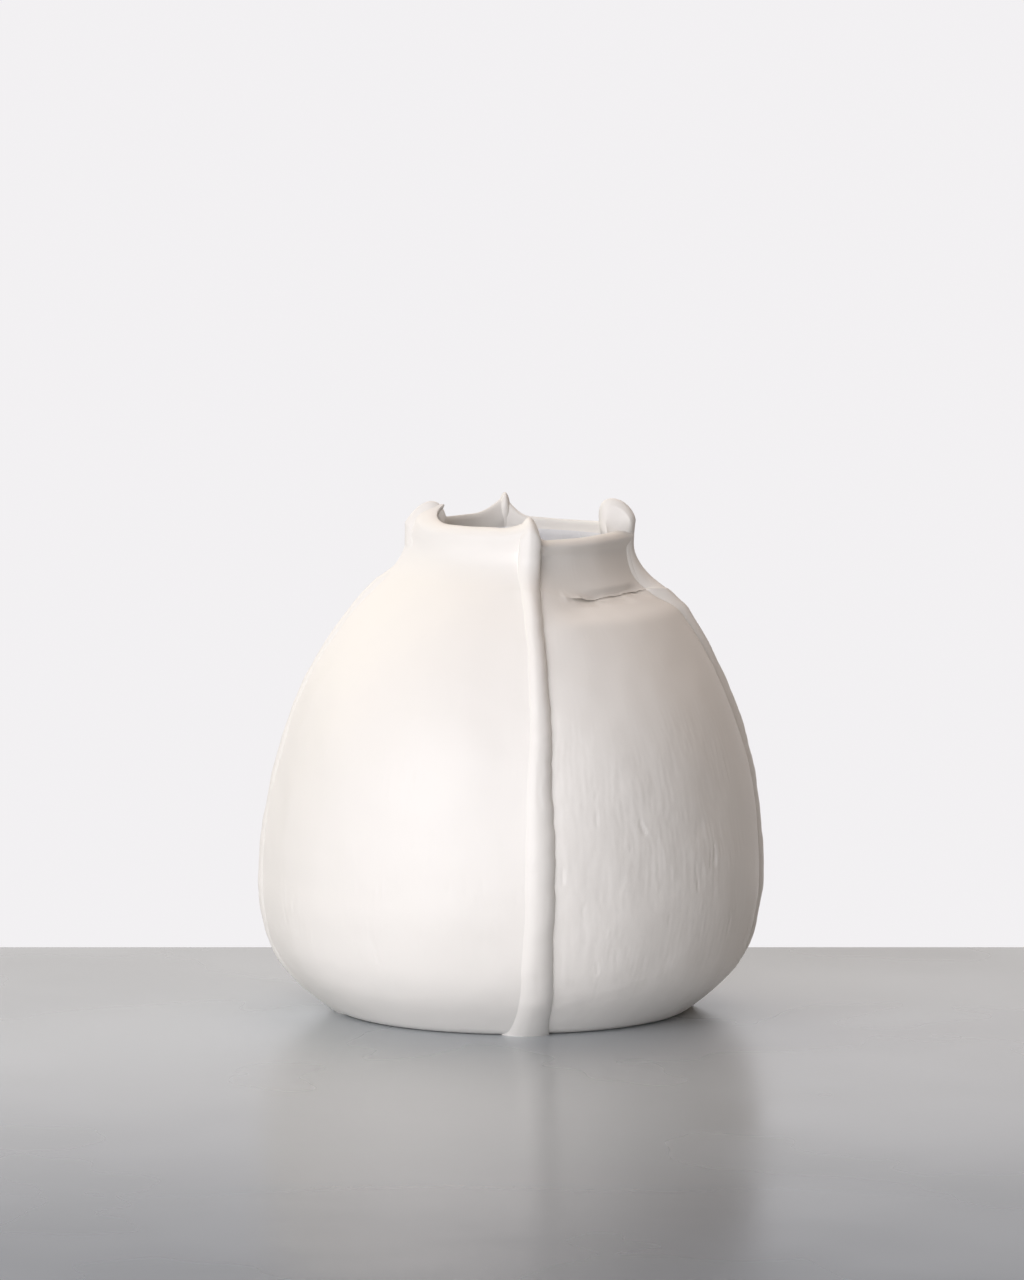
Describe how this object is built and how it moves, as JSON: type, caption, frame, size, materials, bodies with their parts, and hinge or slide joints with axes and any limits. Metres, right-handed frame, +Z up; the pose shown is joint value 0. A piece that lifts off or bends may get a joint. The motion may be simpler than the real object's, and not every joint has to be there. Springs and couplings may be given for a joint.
{
  "type": "pillow vase",
  "caption": "Hand-built ceramic pillow vase: soft swollen panels joined by raised pinched seams, short coved collar, and an upstanding ear on each seam at the mouth; holds stems in water.",
  "frame": {"origin": "centre of the foot, on the surface the vase stands on", "axes": "+Z up through the mouth; the front seam, which faces the viewer in the picture, is on -Y and the right-hand seam on +X"},
  "size_m": [0.2, 0.2, 0.2005],
  "materials": {
    "slip_clay": "matte brushed cream slip",
    "bare_clay": "bare fired clay",
    "inner_glaze": "glossy cool white glaze"
  },
  "bodies": {
    "root": {"wall_panel_front_left": "slip_clay", "wall_panel_front_right": "slip_clay", "wall_panel_back_right": "slip_clay", "wall_panel_back_left": "slip_clay", "collar_panel_front_left": "slip_clay", "collar_panel_front_right": "slip_clay", "collar_panel_back_right": "slip_clay", "collar_panel_back_left": "slip_clay", "seam_strip_front": "slip_clay", "seam_strip_right": "slip_clay", "seam_strip_back": "slip_clay", "seam_strip_left": "slip_clay", "base_slab": "bare_clay", "base_coil": "bare_clay", "glaze_liner": "inner_glaze"}
  },
  "joints": []
}
